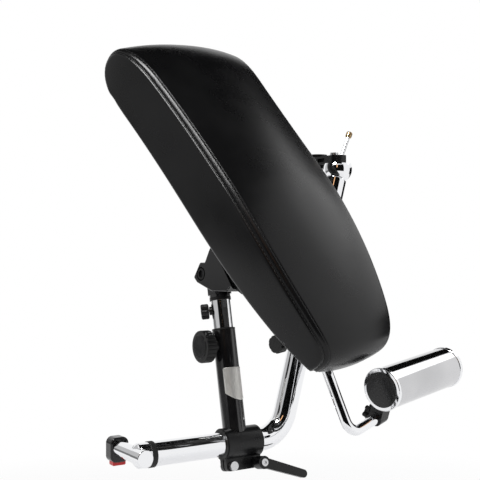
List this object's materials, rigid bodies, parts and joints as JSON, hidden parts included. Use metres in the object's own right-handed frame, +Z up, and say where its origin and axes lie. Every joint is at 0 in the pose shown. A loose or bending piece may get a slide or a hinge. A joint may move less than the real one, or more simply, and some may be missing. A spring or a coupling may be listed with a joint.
{
  "type": "chair-mounted tattoo arm rest",
  "caption": "Padded arm rest on a height-adjustable post that clamps to a chair's side rail, with a tilting head and a swinging hand grip.",
  "frame": {"origin": "on the chair socket's flat back, on the front pivot pin's axis", "axes": "+X back along the rail, +Y in towards the chair along the pivot pin, +Z up"},
  "size_m": [0.4778, 0.3937, 0.6579],
  "materials": {
    "chrome": "polished",
    "bright_steel": "satin",
    "brass": "dark polished",
    "black_paint": "satin powder coat",
    "black_gloss": "gloss",
    "black_matte": "fine grain",
    "red_plastic": "gloss",
    "black_rubber": "matte",
    "plywood": "black painted",
    "leatherette": "soft grain"
  },
  "bodies": {
    "rail_frame": {"rail_tube": "chrome", "rail_seal_ring": "black_rubber", "rail_front_cap": "chrome", "pivot_pin": "chrome", "chair_socket": "black_gloss", "rail_top_cap": "chrome", "upper_bracket": "black_paint", "upper_bracket_bolt": "bright_steel"},
    "button": {"release_button": "red_plastic"},
    "pull_rod_body": {"pull_rod": "chrome", "pull_rod_knob": "brass"},
    "clamp_slider": {"clamp_liner": "black_matte"},
    "clamp": {"clamp_collar": "black_paint", "clamp_front_bolt": "bright_steel", "clamp_lever_stud": "bright_steel", "clamp_nuts": "bright_steel", "outer_tube": "black_paint", "outer_tube_bush": "black_matte", "height_knob_boss": "black_paint"},
    "lever": {"clamp_lever": "black_paint", "clamp_lever_screw": "bright_steel"},
    "height_knob_body": {"height_knob": "black_matte", "height_knob_cap": "black_gloss", "height_knob_stud": "bright_steel"},
    "inner_post": {"inner_tube": "chrome", "inner_tube_glide": "black_matte", "tube_top_bush": "black_matte", "lock_knob_boss": "black_paint"},
    "lock_knob_body": {"lock_knob": "black_matte", "lock_knob_screw": "bright_steel"},
    "stem": {"head_stem": "black_paint"},
    "housing": {"tilt_housing": "black_gloss", "tilt_pin": "black_paint", "tilt_pin_nut": "bright_steel", "tilt_washers": "bright_steel"},
    "pad": {"turn_washer": "black_matte", "turn_bolt": "bright_steel", "turn_nut": "bright_steel", "pad_mount_plate": "black_paint", "plate_screws": "bright_steel", "pad_board": "plywood", "pad_cushion": "leatherette", "grip_bracket": "black_paint", "bracket_screws": "bright_steel", "grip_shaft_nut": "bright_steel"},
    "arm_knob_body": {"grip_shaft": "bright_steel", "grip_arm_knob": "black_matte", "grip_arm_sleeve": "bright_steel"},
    "arm": {"grip_pivot_block": "black_paint", "grip_rod": "chrome"},
    "grip_knob_body": {"grip_clamp_knob": "black_matte", "grip_clamp_screw": "bright_steel"},
    "grip": {"grip_clamp_block": "black_paint", "grip_tube": "chrome", "grip_end_rings": "chrome", "grip_near_cap": "black_gloss", "grip_far_cap": "black_gloss"}
  },
  "joints": [
    {"name": "release_button_press", "type": "slide", "parent": "rail_frame", "child": "button", "axis": [0, 0, 1], "range_m": [0, 0.003], "stiffness_N_per_m": 500},
    {"name": "pull_rod_lift", "type": "slide", "parent": "rail_frame", "child": "pull_rod_body", "axis": [0.3987, 0, 0.9171], "range_m": [0, 0.009], "stiffness_N_per_m": 500},
    {"name": "clamp_slide", "type": "slide", "parent": "rail_frame", "child": "clamp_slider", "axis": [1, 0, 0], "range_m": [-0.104, 0.003]},
    {"name": "clamp_tilt", "type": "hinge", "parent": "clamp_slider", "child": "clamp", "pos_m": [0.166, -0.0735, 0], "axis": [1, 0, 0], "range_deg": [-10, 30]},
    {"name": "clamp_lever_turn", "type": "hinge", "parent": "clamp", "child": "lever", "pos_m": [0.186, -0.08839, -0.0297], "axis": [0, -0.9789, 0.2045], "range_deg": [-110, 40]},
    {"name": "height_knob_turn", "type": "hinge", "parent": "clamp", "child": "height_knob_body", "pos_m": [0.161, -0.04405, 0.14096], "axis": [-1, 0, 0], "range_deg": [-360, 90]},
    {"name": "height_slide", "type": "slide", "parent": "clamp", "child": "inner_post", "axis": [0, 0.2045, 0.9789], "range_m": [-0.012, 0.075]},
    {"name": "lock_knob_turn", "type": "hinge", "parent": "inner_post", "child": "lock_knob_body", "pos_m": [0.161, -0.03301, 0.19382], "axis": [-0.8387, 0.5331, -0.1114], "range_deg": [-360, 90]},
    {"name": "post_swivel", "type": "hinge", "parent": "inner_post", "child": "stem", "pos_m": [0.161, -0.02176, 0.24765], "axis": [0, 0.2045, 0.9789], "range_deg": [-30, 10]},
    {"name": "head_tilt", "type": "hinge", "parent": "stem", "child": "housing", "pos_m": [0.161, -0.02176, 0.24765], "axis": [0.9936, 0.1108, -0.0231], "range_deg": [-70, 4]},
    {"name": "pad_turn", "type": "hinge", "parent": "housing", "child": "pad", "pos_m": [0.17232, -0.10884, 0.31654], "axis": [0.1014, -0.7802, 0.6172], "range_deg": [-25, 25]},
    {"name": "grip_arm_knob_turn", "type": "hinge", "parent": "pad", "child": "arm_knob_body", "pos_m": [0.20636, -0.19072, 0.1645], "axis": [0.9722, 0.2094, 0.1049], "range_deg": [-360, 90]},
    {"name": "grip_arm_tilt", "type": "hinge", "parent": "pad", "child": "arm", "pos_m": [0.20636, -0.19072, 0.1645], "axis": [0.9722, 0.2094, 0.1049], "range_deg": [-14, 45]},
    {"name": "grip_knob_turn", "type": "hinge", "parent": "grip", "child": "grip_knob_body", "pos_m": [0.30852, -0.22074, 0.04564], "axis": [-0.2332, 0.9061, 0.3529], "range_deg": [-360, 90]},
    {"name": "grip_swing", "type": "hinge", "parent": "arm", "child": "grip", "pos_m": [0.24272, -0.23783, 0.03123], "axis": [0.9468, 0.246, 0.2073], "range_deg": [-60, 45]}
  ]
}
